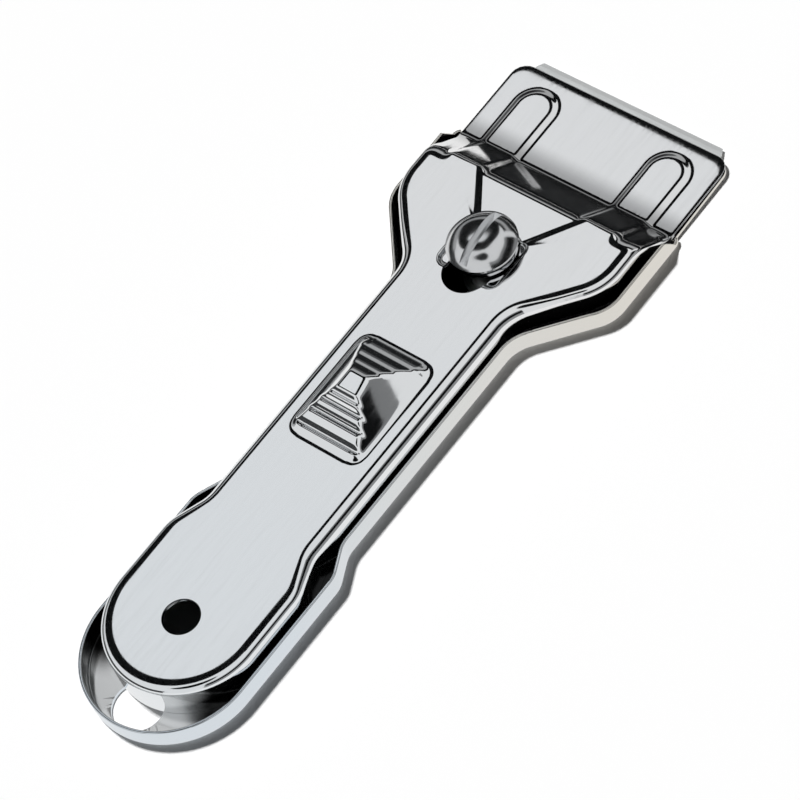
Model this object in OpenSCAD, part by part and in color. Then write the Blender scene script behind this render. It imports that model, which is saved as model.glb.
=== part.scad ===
// Razor blade scraper: a stamped cover with a clamping front plate slides in a
// stamped base shell, and one slotted screw locks it over a threaded standoff.
// X runs from the hanging hole towards the cutting edge, Z up from the table.

/* [Base shell] */
// Sheet thickness of the base
base_t = 0.6; // [0.5:0.05:0.7]
// Outside width across the round tail
tail_w = 30.4; // [29.4:0.2:32]
// Outside width of the waist that the hand holds
waist_w = 25.1; // [24.5:0.1:26]
// Outside width of the head
head_w = 47.4; // [46.5:0.1:49]
// Height of the turned-up rim
rim_h = 4.2; // [3.6:0.1:4.8]
// Outside radius of the bend at the rim's foot
rim_bend_r = 0.9; // [0.8:0.05:1]
// From the hanging hole's centre back to the end of the tail
tail_back = 5.5; // [5.4:0.1:6]
// Radius of the hanging hole
hang_hole_r = 4.5; // [3.5:0.1:4.5]
// From the hanging hole to where the tail starts to narrow
tail_run = 32.3; // [31.5:0.1:33]
// From the hanging hole to where the head has its full width
head_run = 98.3; // [97.5:0.1:98.4]
// From the hanging hole to the front of the rim
rim_run = 114; // [113.8:0.1:115]
// Angle at which the tail narrows to the waist
base_tail_angle = 26; // [22:1:30]
// Angle at which the waist widens to the head
base_head_angle = 42; // [40:1:44]
// Radius of the outward curve at the tail shoulder
base_tail_out_r = 5; // [4.5:0.1:5.5]
// Radius of the inward curve at the tail shoulder
base_tail_in_r = 5; // [4.5:0.1:5.5]
// Radius of the outward curve at the head shoulder
base_head_out_r = 7; // [6:0.1:7.5]
// Radius of the inward curve at the head shoulder
base_head_in_r = 6.5; // [6:0.1:7]
// Radius of the rim's front corner
rim_corner_r = 1.6; // [1.5:0.1:1.8]
// Length over which the rim slopes down at the front
rim_slope_len = 2.2; // [1.8:0.1:4]
// Height of the rim where the slope ends
rim_low_h = 1.3; // [1.2:0.1:1.5]

/* [Sliding cover] */
// Sheet thickness of the cover
cover_t = 0.6; // [0.5:0.05:0.7]
// Height of the cover's flat top above the table
cover_h = 7.6; // [7.2:0.1:8.2]
// Outside radius of the bend round the flat top
cover_edge_r = 1; // [0.9:0.05:1.1]
// Gap between the skirt and the rim at the tail
tail_gap = 0.55; // [0.4:0.05:0.8]
// Gap between the skirt and the rim at the waist
side_gap = 0.38; // [0.3:0.02:0.5]
// Gap between the skirt and the rim at the head
head_gap = 0.8; // [0.7:0.05:1]
// Gap between the skirt's lower edge and the base's floor
skirt_gap = 0.05; // [0.03:0.01:0.1]
// Free length behind the cover's tail inside the rim
tail_room = 5.65; // [5:0.05:6.5]
// Angle at which the cover narrows behind the waist
cover_tail_angle = 20; // [18:1:22]
// Angle at which the cover widens in front of the waist
cover_head_angle = 42; // [40:1:44]
// Radius of the outward curve at the cover's tail shoulder
cover_tail_out_r = 8; // [7:0.1:9]
// Radius of the inward curve at the cover's tail shoulder
cover_tail_in_r = 6; // [5:0.1:7]
// Radius of the outward curve at the cover's head shoulder
cover_head_out_r = 10; // [9.5:0.1:10.5]
// Radius of the inward curve at the cover's head shoulder
cover_head_in_r = 7; // [6.5:0.1:7.5]
// Radius of the round hole in the cover's tail
cover_hole_r = 3.15; // [2.5:0.05:3.4]
// From the hanging hole to the hole in the cover's tail
cover_hole_run = 14; // [13.5:0.1:15]

/* [Travel] */
// How far the cover slides forward from the position shown
extend_travel = 4.9; // [4:0.1:4.9]
// How far the cover slides back until the edge is covered
retract_travel = 2; // [1.9:0.1:2.1]
// Extra length between the tail shoulders at full extension
tail_stop_gap = 1.8; // [1.6:0.1:2.4]
// Extra length between the head shoulders at full retraction
head_stop_gap = 0.8; // [0.8:0.1:1.2]

/* [Front plate and joggle] */
// From the hanging hole to the foot of the joggle
foot_run = 113.4; // [113:0.1:114]
// Slope of the joggle
joggle_angle = 39; // [36:1:42]
// Outside radius where the flat top bends down
joggle_top_r = 1.6; // [1.4:0.1:1.8]
// Radius where the slope meets the front plate
joggle_foot_r = 0.8; // [0.7:0.1:1]
// Radius of the plate's front corners
plate_corner_r = 2.8; // [2:0.1:3.5]
// Distance between the centre lines of the two raised pads
pad_spread = 27.9; // [27:0.1:28.5]
// Width of a pad's flat top
pad_top_w = 5.5; // [5:0.1:5.8]
// Width of each sloped wall of a pad
pad_wall_w = 1.9; // [1.7:0.1:2]
// Height of a pad above the plate
pad_h = 0.5; // [0.4:0.05:0.55]
// From the plate's front edge back to the centre of a pad's round end
pad_end_back = 7.2; // [6.5:0.1:8]

/* [Blade] */
// Width of the blade
blade_w = 39.2; // [38:0.1:40]
// Depth of the blade from its back to its cutting edge
blade_depth = 18.5; // [18:0.1:19]
// Thickness of the blade
blade_t = 0.25; // [0.2:0.01:0.3]
// How far the edge stands out of the front plate
blade_reach = 1.9; // [1.6:0.1:1.9]
// Gap above and below the blade in its seat
blade_gap = 0.05; // [0.03:0.01:0.08]
// Gap between the blade's back and the joggle
blade_back_gap = 0.1; // [0.05:0.05:0.2]
// Width of the ground bevel along the edge
bevel_w = 0.9; // [0.7:0.1:1.1]
// Sideways size of the clipped blade corners
blade_clip_w = 0.7; // [0.5:0.1:1]
// Length of the clipped blade corners
blade_clip_len = 1.4; // [1:0.1:1.5]

/* [Clamp screw and standoff] */
// From the hanging hole to the screw's axis
screw_run = 93.5; // [93:0.1:94]
// Radius of the threaded shank
shank_r = 2.5; // [2.3:0.05:2.6]
// Radius of the screw head
screw_head_r = 6.1; // [5.8:0.1:6.4]
// Height of the straight edge of the screw head
head_edge_h = 0.6; // [0.5:0.05:0.8]
// Height of the dome above that edge
dome_h = 2.2; // [2:0.1:2.5]
// Width of the driver slot
driver_slot_w = 1.5; // [1.2:0.1:1.6]
// Depth of the driver slot below the top of the dome
driver_slot_d = 1.6; // [1.3:0.1:1.8]
// Angle of the driver slot to the handle
driver_slot_turn = 5; // [0:1:10]
// Clearance between the shank and the holes round it
thread_gap = 0.05; // [0.03:0.01:0.08]
// Radius of the flat washer
washer_r = 5.6; // [5.3:0.1:5.8]
// Thickness of the flat washer
washer_t = 0.6; // [0.5:0.05:0.7]
// Radius of the split spring washer
spring_washer_r = 4.3; // [4.1:0.1:4.6]
// Thickness of the split spring washer
spring_washer_t = 0.9; // [0.8:0.05:1]
// Width of the split in the spring washer
split_w = 0.8; // [0.6:0.1:1]
// Gap between the cover's top and the flat washer when the screw is eased
slide_clear = 0.06; // [0.05:0.01:0.1]
// Gap between stacked faces under the screw head
stack_gap = 0.03; // [0.02:0.01:0.05]
// Radius of the standoff that stands in the cover's slot
standoff_r = 3.9; // [3.7:0.1:4]
// Clearance between the standoff and the slot
slot_gap = 0.3; // [0.2:0.05:0.4]
// Radius of the standoff's flange on the floor
flange_r = 5.2; // [5:0.1:5.5]
// Thickness of that flange
flange_t = 0.8; // [0.7:0.05:1]
// Radius of the standoff's spigot in the floor
spigot_r = 3.3; // [3.2:0.05:3.5]
// How far the standoff's top stays under the recess floor
standoff_drop = 0.1; // [0.05:0.05:0.15]
// How far the screw's tip stays above the table
tip_clear = 0.8; // [0.6:0.1:1.2]

/* [Recess and valley round the screw] */
// Depth of the recess and of the valley in front of it
recess_d = 0.5; // [0.4:0.05:0.55]
// Width of the recess
recess_w = 12.2; // [11.8:0.1:12.4]
// From the screw's axis back to the rear wall of the recess
recess_back = 5.7; // [5.7:0.1:6]
// From the screw's axis forward to the start of the valley
valley_start = 4.2; // [3.8:0.1:4.6]
// Width of the valley where it starts
valley_start_w = 9.8; // [9:0.1:10.5]
// Width of the valley at the joggle
valley_end_w = 22.6; // [21.5:0.1:23.5]

/* [Thumb rest] */
// From the hanging hole to the rear end of the thumb rest
thumb_run = 50; // [49:0.1:51]
// Length of the thumb rest
thumb_len = 20.9; // [20:0.1:22]
// Width of the thumb rest at its foot
thumb_w = 14.8; // [14:0.1:15.4]
// Height of the thumb rest above the flat top
thumb_h = 4.6; // [4:0.1:5]
// Width of the flat on top of the thumb rest
thumb_top_w = 5.6; // [5:0.1:6.2]
// Length of the flat on top of the thumb rest
thumb_top_len = 4.5; // [4:0.1:5]
// Length of the front slope
thumb_front_len = 8.8; // [8.4:0.1:9.4]
// Corner radius of the thumb rest's foot
thumb_corner_r = 2.3; // [2.2:0.1:2.6]
// Grooves across each slope
thumb_grooves = 4; // [3:1:5]
// Radius of each groove
groove_r = 0.35; // [0.25:0.05:0.4]

/* [Hidden] */
$fn = 96;
arc_steps = 6;
tail_arc_steps = 16;
overrun = 1;
steel = [0.82, 0.83, 0.85];
pale_steel = [0.88, 0.88, 0.86];
blade_steel = [0.75, 0.77, 0.78];

// Half widths of the base and of the cover that slides in it
tail_half = tail_w / 2;
waist_half = waist_w / 2;
head_half = head_w / 2;
cover_tail_half = tail_half - base_t - tail_gap;
cover_waist_half = waist_half - base_t - side_gap;
cover_head_half = head_half - base_t - head_gap;

// Places of the cover's shoulders, from the base's and the travel
cover_tail_run = tail_run - extend_travel - tail_stop_gap;
cover_head_run = head_run + retract_travel + head_stop_gap;
cover_tail_x = tail_room + base_t - tail_back;

// Heights in the clamped stack
blade_z = base_t + blade_gap;
plate_z = blade_z + blade_t + blade_gap;
plate_top = plate_z + cover_t;
skirt_z = base_t + skirt_gap;
recess_z = cover_h - recess_d;
washer_z = cover_h + slide_clear;
spring_washer_z = washer_z + washer_t + stack_gap;
screw_head_z = spring_washer_z + spring_washer_t + stack_gap;
standoff_top = recess_z - standoff_drop;

// Front edges of the blade, the plate and the base's tongue
blade_back_x = foot_run + blade_back_gap;
blade_edge_x = blade_back_x + blade_depth;
plate_front_x = blade_edge_x - blade_reach;
tongue_front_x = blade_edge_x - retract_travel + blade_back_gap;
pad_end_x = plate_front_x - pad_end_back;
pad_foot_half = pad_top_w / 2 + pad_wall_w;

// Feet of the swept strips, where they meet the flat sheets
foot_share = 0.5;
rim_foot = rim_bend_r + base_t * foot_share;
flat_foot = cover_edge_r + cover_t * foot_share;
set_in_share = 0.15;

// A station on an outline: centre of curvature, signed radius, outward angle
function arc_stations(cx, cy, r, a0, a1, n) =
    [for (i = [0:n]) [cx, cy, r, a0 + (a1 - a0) * i / n]];
function shift(s, out) = [s[0] + (s[2] + out) * cos(s[3]), s[1] + (s[2] + out) * sin(s[3])];
function flip(s) = [s[0], -s[1], s[2], -s[3]];

// Length that a smooth step between two half widths takes
function step_run(wide, narrow, r_out, r_in, a) =
    (r_out + r_in) * sin(a) + (wide - narrow - (r_out + r_in) * (1 - cos(a))) / tan(a);

// Half of an hourglass outline, from the front back to the end of the tail
function half_outline(front_x, head, waist, tail, head_x, tail_x, end_x, rho, rhi, ah, rto, rti, at) =
    let (waist_front = head_x - step_run(head, waist, rho, rhi, ah))
    let (waist_back = tail_x + step_run(tail, waist, rto, rti, at))
    concat(
        [[front_x, head, 0, 90]],
        arc_stations(head_x, head - rho, rho, 90, 90 + ah, arc_steps),
        arc_stations(waist_front, waist + rhi, -rhi, 90 + ah, 90, arc_steps),
        arc_stations(waist_back, waist + rti, -rti, 90, 90 - at, arc_steps),
        arc_stations(tail_x, tail - rto, rto, 90 - at, 90, arc_steps),
        arc_stations(end_x + tail, 0, tail, 90, 180, tail_arc_steps));
function backwards(list) = [for (i = [len(list) - 1:-1:0]) list[i]];
function mirror_list(half) =
    concat(half, [for (i = [len(half) - 2:-1:0]) flip(half[i])]);

base_half = half_outline(
    rim_run - rim_corner_r, head_half, waist_half, tail_half, head_run, tail_run, -tail_back,
    base_head_out_r, base_head_in_r, base_head_angle,
    base_tail_out_r, base_tail_in_r, base_tail_angle);
corner_y = head_half - rim_corner_r;
corner_stop_angle = asin((cover_head_half - corner_y) / (rim_corner_r - rim_foot));
base_corner = arc_stations(
    rim_run - rim_corner_r, corner_y, rim_corner_r, corner_stop_angle, 90, arc_steps / 2);
slope_back = [rim_run - rim_corner_r - rim_slope_len, head_half, 0, 90];
base_rim = mirror_list(concat(base_corner, [slope_back], [for (i = [1:len(base_half) - 1]) base_half[i]]));

// Side view of the joggle: flat top, bend, slope, foot and front plate
joggle_run = step_run(cover_h, plate_top, joggle_top_r, joggle_foot_r, joggle_angle);
joggle_x = foot_run - joggle_run;
sheet_back_x = joggle_x - cover_edge_r * 2;
corner_x = joggle_x + cover_edge_r;
function joggle_stations(x0, x1) = concat(
    [[x0, cover_h, 0, 90]],
    arc_stations(joggle_x, cover_h - joggle_top_r, joggle_top_r, 90, 90 - joggle_angle, arc_steps),
    arc_stations(foot_run, plate_top + joggle_foot_r, -joggle_foot_r, 90 - joggle_angle, 90, arc_steps),
    [[x1, plate_top, 0, 90]]);

cover_half = half_outline(
    joggle_x, cover_head_half, cover_waist_half, cover_tail_half, cover_head_run, cover_tail_run, cover_tail_x,
    cover_head_out_r, cover_head_in_r, cover_head_angle,
    cover_tail_out_r, cover_tail_in_r, cover_tail_angle);
cover_plan = mirror_list(cover_half);

// Solid strip through the cross-sections that stand at a row of stations
module swept_strip(stations, sections) {
    m = len(sections[0]);
    n = len(stations);
    points = [for (i = [0:n - 1]) for (q = sections[i]) let (p = shift(stations[i], q[0])) [p[0], p[1], q[1]]];
    sides = [for (i = [0:n - 2]) for (j = [0:m - 1])
        let (a = i * m + j)
        let (b = i * m + (j + 1) % m)
        each [[a, b, a + m], [b, b + m, a + m]]];
    near_cap = [for (j = [m - 1:-1:0]) j];
    far_cap = [for (j = [0:m - 1]) (n - 1) * m + j];
    polyhedron(points = points, faces = concat(sides, [near_cap, far_cap]), convexity = 10);
}

// Points of a rounded corner in a cross-section
function bend(cx, cy, r, a0, a1, n) =
    [for (i = [0:n]) [cx + r * cos(a0 + (a1 - a0) * i / n), cy + r * sin(a0 + (a1 - a0) * i / n)]];
bend_steps = 4;

function rim_top(s) = shift(s, 0)[0] > slope_back[0] + rim_slope_len / 2 ? rim_low_h : rim_h;
function rim_section(top) = concat(
    [[-rim_foot, 0]],
    bend(-rim_bend_r, rim_bend_r, rim_bend_r, -90, 0, bend_steps),
    [[0, top], [-base_t, top]],
    bend(-rim_bend_r, rim_bend_r, rim_bend_r - base_t, 0, -90, bend_steps),
    [[-rim_foot, base_t]]);

function skirt_section() = concat(
    [[-flat_foot, cover_h - cover_t]],
    bend(-cover_edge_r, cover_h - cover_edge_r, cover_edge_r - cover_t, 90, 0, bend_steps),
    [[-cover_t, skirt_z], [0, skirt_z]],
    bend(-cover_edge_r, cover_h - cover_edge_r, cover_edge_r, 0, 90, bend_steps),
    [[-flat_foot, cover_h]]);

// Cross-section of a raised pad between two levels above the sheet
pad_line = pad_spread / 2;
function pad_section(low, high) = [
    [low, -pad_foot_half], [high, -pad_top_w / 2], [high, pad_top_w / 2], [low, pad_foot_half]];

// The pads' channels along a side view of the sheet that they rise from
module pad_channels(line, lift) {
    for (side = [-1, 1])
        translate([0, side * pad_line, 0])
            rotate([90, 0, 0])
                swept_strip(backwards(line), [for (s = line) pad_section(lift, lift + pad_h)]);
}

// The sheet that bends down from the flat top to the front plate
module joggle_sheet() {
    line = joggle_stations(sheet_back_x, pad_end_x);
    flat_half = cover_head_half - flat_foot;
    intersection() {
        rotate([90, 0, 0])
            linear_extrude(cover_head_half * 2, center = true)
                polygon(concat(
                    [for (s = line) shift(s, 0)],
                    backwards([for (s = line) shift(s, -cover_t)])));
        linear_extrude(cover_h + overrun)
            polygon([
                [sheet_back_x, -flat_half], [joggle_x, -flat_half], [corner_x, -cover_head_half],
                [pad_end_x, -cover_head_half], [pad_end_x, cover_head_half], [corner_x, cover_head_half],
                [joggle_x, flat_half], [sheet_back_x, flat_half]]);
    }
}

// Plan of a plate with rounded front corners
module tongue_plan(back_x, front_x, half, r) {
    difference() {
        translate([back_x, -half]) square([front_x - back_x, half * 2]);
        for (side = [-1, 1])
            translate([front_x, side * half]) circle(r);
    }
    for (side = [-1, 1])
        translate([front_x - r, side * (half - r)]) circle(r);
}

// The flat floor inside the rim's foot, with its front tongue
module floor_plan() {
    front = tongue_front_x - plate_corner_r;
    polygon(concat(
        [for (s = base_rim) shift(s, -rim_foot)],
        [[front, -cover_head_half], [front, cover_head_half]]));
    translate([rim_run, -cover_head_half + plate_corner_r])
        square([tongue_front_x - rim_run, (cover_head_half - plate_corner_r) * 2]);
    for (side = [-1, 1])
        translate([front, side * (cover_head_half - plate_corner_r)]) circle(plate_corner_r);
}

module base_shell() {
    color(pale_steel)
        difference() {
            union() {
                swept_strip(base_rim, [for (s = base_rim) rim_section(rim_top(s))]);
                linear_extrude(base_t)
                    floor_plan();
            }
            translate([0, 0, -overrun]) cylinder(h = base_t + overrun * 2, r = hang_hole_r);
            translate([screw_run, 0, -overrun]) cylinder(h = base_t + overrun * 2, r = spigot_r);
        }
}

module standoff() {
    color(steel)
        translate([screw_run, 0, 0])
            difference() {
                union() {
                    cylinder(h = base_t + flange_t, r = spigot_r);
                    translate([0, 0, base_t]) cylinder(h = flange_t, r = flange_r);
                    translate([0, 0, base_t]) cylinder(h = standoff_top - base_t, r = standoff_r);
                }
                translate([0, 0, -overrun]) cylinder(h = standoff_top + overrun * 2, r = shank_r + thread_gap);
            }
}

// Rear wall of the recess and the valley that fans out to the joggle
module recess_plan(grow) {
    back = screw_run - recess_back - grow;
    start = screw_run + valley_start;
    polygon([
        [back, -recess_w / 2 - grow], [start, -recess_w / 2 - grow], [start, -valley_start_w / 2 - grow],
        [joggle_x + joggle_top_r, -valley_end_w / 2 - grow], [joggle_x + joggle_top_r, valley_end_w / 2 + grow],
        [start, valley_start_w / 2 + grow], [start, recess_w / 2 + grow], [back, recess_w / 2 + grow]]);
}

// The thumb rest as a block that reaches down by a foot below the flat top
module thumb_form(foot_depth) {
    x1 = thumb_run;
    x2 = thumb_run + thumb_len;
    top2 = x2 - thumb_front_len;
    top1 = top2 - thumb_top_len;
    foot = thumb_w / 2;
    top = thumb_top_w / 2;
    intersection() {
        rotate([90, 0, 0])
            linear_extrude(thumb_w, center = true)
                polygon([
                    [x1, -foot_depth], [x1, 0], [x1 + (top1 - x1) * knee_x_share, thumb_h * knee_z_share],
                    [top1, thumb_h], [top2, thumb_h], [x2, 0], [x2, -foot_depth]]);
        rotate([90, 0, 90])
            translate([0, 0, x1])
                linear_extrude(thumb_len)
                    polygon([
                        [-foot, -foot_depth], [-foot, 0], [-top, thumb_h],
                        [top, thumb_h], [foot, 0], [foot, -foot_depth]]);
        translate([0, 0, -foot_depth])
            linear_extrude(thumb_h + foot_depth)
                rounded_box(x1, x2, foot, thumb_corner_r);
    }
}
knee_x_share = 0.66;
knee_z_share = 0.44;

module rounded_box(x1, x2, half, r) {
    translate([x1 + r, -half]) square([x2 - x1 - r * 2, half * 2]);
    translate([x1, -half + r]) square([x2 - x1, half * 2 - r * 2]);
    for (x = [x1 + r, x2 - r])
        for (side = [-1, 1])
            translate([x, side * (half - r)]) circle(r);
}

// Grooves that give the thumb its grip on both slopes
module thumb_groove_cuts() {
    x1 = thumb_run;
    top2 = thumb_run + thumb_len - thumb_front_len;
    top1 = top2 - thumb_top_len;
    knee_x = x1 + (top1 - x1) * knee_x_share;
    knee_z = thumb_h * knee_z_share;
    for (i = [1:thumb_grooves]) {
        along = (i - 1 / 2) / thumb_grooves;
        back_x = x1 + (top1 - x1) * along;
        back_z = back_x < knee_x
            ? knee_z * (back_x - x1) / (knee_x - x1)
            : knee_z + (thumb_h - knee_z) * (back_x - knee_x) / (top1 - knee_x);
        thumb_groove(back_x, back_z);
        thumb_groove(top2 + thumb_front_len * along, thumb_h * (1 - along));
    }
}

module thumb_groove(x, z) {
    translate([x, 0, z])
        rotate([90, 0, 0])
            cylinder(h = thumb_w, r = groove_r, center = true, $fn = 24);
}

// Two side walls that close the space under the joggle's slope
module joggle_cheeks() {
    set_in = cover_t * set_in_share;
    low = skirt_z + set_in;
    high = cover_h - cover_t - set_in;
    line = joggle_stations(joggle_x - cover_t, foot_run);
    under = [for (s = line) let (p = shift(s, -cover_t / 2)) [p[0], min(p[1], high)]];
    for (side = [0, 1])
        mirror([0, side, 0])
            translate([0, cover_head_half - set_in, 0])
                rotate([90, 0, 0])
                    linear_extrude(cover_t - set_in * 2)
                        polygon(concat(
                            [for (p = under) if (p[1] > low) p],
                            [[foot_run - joggle_foot_r, low], [joggle_x - cover_t, low]]));
}

module pad_end(top_lift, side) {
    translate([pad_end_x, side * pad_line, top_lift])
        cylinder(h = pad_h, r1 = pad_foot_half, r2 = pad_top_w / 2);
}

module joggle_front() {
    line = joggle_stations(joggle_x - cover_t, pad_end_x);
    intersection() {
        difference() {
            union() {
                joggle_sheet();
                pad_channels(line, 0);
                translate([0, 0, plate_z])
                    linear_extrude(cover_t)
                        tongue_plan(pad_end_x - cover_t, plate_front_x, cover_head_half, plate_corner_r);
                for (side = [-1, 1])
                    pad_end(plate_top, side);
            }
            pad_channels([for (i = [arc_steps + 1:len(line) - 1]) line[i]], -cover_t);
            for (side = [-1, 1])
                pad_end(plate_z, side);
        }
        translate([sheet_back_x, -head_half, 0])
            cube([blade_edge_x, head_w, cover_h]);
    }
}

module sliding_cover() {
    color(steel)
        difference() {
            union() {
                difference() {
                    union() {
                        swept_strip(cover_plan, [for (s = cover_plan) skirt_section()]);
                        translate([0, 0, cover_h - cover_t])
                            linear_extrude(cover_t)
                                polygon([for (s = cover_plan)
                                    let (p = shift(s, -flat_foot))
                                    [min(p[0], sheet_back_x), p[1]]]);
                        joggle_front();
                        joggle_cheeks();
                    }
                    translate([0, 0, recess_z])
                        linear_extrude(recess_d + overrun)
                            recess_plan(0);
                }
                translate([0, 0, recess_z - cover_t])
                    linear_extrude(cover_t)
                        intersection() {
                            recess_plan(cover_t);
                            translate([0, -head_half]) square([joggle_x + cover_t, head_w]);
                        }
                translate([0, 0, cover_h]) thumb_form(cover_t / 2);
            }
            translate([0, 0, cover_h - cover_t - groove_r]) thumb_form(overrun);
            translate([0, 0, cover_h]) thumb_groove_cuts();
            translate([cover_hole_run, 0, cover_h - cover_t - overrun])
                cylinder(h = cover_t + overrun * 2, r = cover_hole_r);
            screw_slot();
        }
}

// Slot that lets the cover slide past the standoff
module screw_slot() {
    r = standoff_r + slot_gap;
    low = recess_z - cover_t - overrun;
    tall = cover_t + recess_d + overrun * 2;
    for (x = [screw_run - extend_travel, screw_run + retract_travel])
        translate([x, 0, low]) cylinder(h = tall, r = r);
    translate([screw_run - extend_travel, -r, low])
        cube([extend_travel + retract_travel, r * 2, tall]);
}

module razor_blade() {
    half = blade_w / 2;
    color(blade_steel)
        translate([0, 0, blade_z])
            intersection() {
                linear_extrude(blade_t)
                    polygon([
                        [blade_back_x, -half], [blade_edge_x - blade_clip_len, -half],
                        [blade_edge_x, -half + blade_clip_w], [blade_edge_x, half - blade_clip_w],
                        [blade_edge_x - blade_clip_len, half], [blade_back_x, half]]);
                rotate([90, 0, 0])
                    linear_extrude(blade_w, center = true)
                        polygon([
                            [blade_back_x, 0], [blade_edge_x, 0],
                            [blade_edge_x - bevel_w, blade_t], [blade_back_x, blade_t]]);
            }
}

module flat_washer() {
    color(steel)
        translate([screw_run, 0, washer_z])
            difference() {
                cylinder(h = washer_t, r = washer_r);
                translate([0, 0, -overrun]) cylinder(h = washer_t + overrun * 2, r = shank_r + thread_gap);
            }
}

module spring_washer() {
    color(steel)
        translate([screw_run, 0, spring_washer_z])
            difference() {
                cylinder(h = spring_washer_t, r = spring_washer_r);
                translate([0, 0, -overrun])
                    cylinder(h = spring_washer_t + overrun * 2, r = shank_r + thread_gap);
                translate([0, -split_w / 2, -overrun])
                    cube([spring_washer_r + overrun, split_w, spring_washer_t + overrun * 2]);
            }
}

module clamp_screw() {
    ball_r = (screw_head_r * screw_head_r + dome_h * dome_h) / (dome_h * 2);
    shank_len = screw_head_z - tip_clear;
    color(steel)
        translate([screw_run, 0, screw_head_z])
            difference() {
                union() {
                    translate([0, 0, -shank_len]) cylinder(h = shank_len + head_edge_h, r = shank_r);
                    cylinder(h = head_edge_h, r = screw_head_r);
                    rotate_extrude()
                        intersection() {
                            translate([0, head_edge_h + dome_h - ball_r]) circle(ball_r);
                            translate([0, head_edge_h / 2]) square([screw_head_r, head_edge_h + dome_h]);
                        }
                }
                rotate([0, 0, driver_slot_turn])
                    translate([-screw_head_r - overrun, -driver_slot_w / 2, head_edge_h + dome_h - driver_slot_d])
                        cube([(screw_head_r + overrun) * 2, driver_slot_w, driver_slot_d + overrun]);
            }
}

base_shell();
standoff();
sliding_cover();
razor_blade();
flat_washer();
spring_washer();
clamp_screw();
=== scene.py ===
import bpy
import bmesh
from math import cos, hypot, pi, radians, sin, sqrt, tan
from mathutils import Matrix, Vector


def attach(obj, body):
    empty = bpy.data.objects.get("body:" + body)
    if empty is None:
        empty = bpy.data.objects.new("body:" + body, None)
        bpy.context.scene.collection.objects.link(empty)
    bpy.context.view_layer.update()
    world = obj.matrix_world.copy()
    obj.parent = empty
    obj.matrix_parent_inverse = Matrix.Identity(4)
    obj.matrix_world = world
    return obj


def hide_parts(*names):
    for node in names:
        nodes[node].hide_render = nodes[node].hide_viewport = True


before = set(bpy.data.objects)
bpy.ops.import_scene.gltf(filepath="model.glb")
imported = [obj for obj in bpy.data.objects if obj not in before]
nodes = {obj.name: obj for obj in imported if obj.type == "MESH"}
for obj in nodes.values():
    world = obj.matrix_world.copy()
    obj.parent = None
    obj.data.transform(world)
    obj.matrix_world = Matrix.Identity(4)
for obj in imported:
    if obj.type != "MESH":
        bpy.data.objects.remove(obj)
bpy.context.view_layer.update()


# The table, the lamp and the camera. The tool lies on a white table. A lamp behind its left
# side throws a soft shadow to the lower right. A soft box in a black frame gives the plated
# steel its greys and dark bands.
def hex_rgb(code):
    """A sRGB hex colour turned linear."""
    parts = [int(code[i : i + 2], 16) / 255 for i in (1, 3, 5)]
    return [p / 12.92 if p <= 0.04045 else ((p + 0.055) / 1.055) ** 2.4 for p in parts] + [1]


def add_node(tree, kind, settings=(), links=()):
    """A new node with its settings and its links, by name or by place of the socket."""
    made = tree.nodes.new(kind)
    for name, value in dict(settings).items():
        if isinstance(name, int) or name in made.inputs:
            made.inputs[name].default_value = value
        else:
            setattr(made, name, value)
    for name, source in dict(links).items():
        tree.links.new(source, made.inputs[name])
    return made


def new_material(name):
    """A material whose tree holds only its output, and that tree."""
    made = bpy.data.materials.new(name)
    made.use_nodes = True
    made.node_tree.nodes.clear()
    return made, made.node_tree


scene = bpy.context.scene
scene.view_settings.view_transform = "Standard"

# White laminate: an even matt white, which the polished steel mirrors as one pale tone.
table_white, tree = new_material("white_laminate")
matt = add_node(tree, "ShaderNodeBsdfDiffuse", {"Color": hex_rgb("#FBFBFB")})
pale = add_node(tree, "ShaderNodeEmission", {"Color": hex_rgb("#F3F3F3"), "Strength": 1.0})
path = add_node(tree, "ShaderNodeLightPath")
seen = add_node(
    tree, "ShaderNodeMixShader",
    links={0: path.outputs["Is Glossy Ray"], 1: matt.outputs[0], 2: pale.outputs[0]},
)
add_node(tree, "ShaderNodeOutputMaterial", links={"Surface": seen.outputs[0]})

TABLE_HALF = 6
bm = bmesh.new()
bmesh.ops.create_grid(bm, x_segments=1, y_segments=1, size=TABLE_HALF)
mesh = bpy.data.meshes.new("table_top")
bm.to_mesh(mesh)
bm.free()
mesh.materials.append(table_white)
table_top = bpy.data.objects.new("table_top", mesh)
scene.collection.objects.link(table_top)

# Black card: it takes light and gives none back.
card_black, tree = new_material("black_card")
matt = add_node(tree, "ShaderNodeBsdfDiffuse", {"Color": hex_rgb("#141516")})
add_node(tree, "ShaderNodeOutputMaterial", links={"Surface": matt.outputs[0]})


def hang_card(name, bm, material):
    """A card that only the polished steel sees."""
    mesh = bpy.data.meshes.new(name)
    bm.to_mesh(mesh)
    bm.free()
    mesh.materials.append(material)
    card = bpy.data.objects.new(name, mesh)
    scene.collection.objects.link(card)
    card.visible_camera = False
    card.visible_diffuse = False
    card.visible_shadow = False


TOOL_MIDDLE, BOX_FAR = Vector((0.07, 0, 0)), 2.5


def hang_high(name, bm, way, material):
    """Hangs a card square to a direction from the middle of the tool, at the box's distance."""
    bmesh.ops.rotate(
        bm, cent=(0, 0, 0), matrix=way.to_track_quat("Z", "Y").to_matrix(), verts=bm.verts
    )
    bmesh.ops.translate(bm, verts=bm.verts, vec=TOOL_MIDDLE + way * BOX_FAR)
    hang_card(name, bm, material)


def glowing_cloth(name, code):
    """Scrim cloth over a lamp: an even glow."""
    made, tree = new_material(name)
    glow = add_node(tree, "ShaderNodeEmission", {"Color": hex_rgb(code), "Strength": 1.0})
    add_node(tree, "ShaderNodeOutputMaterial", links={"Surface": glow.outputs[0]})
    return made


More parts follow.
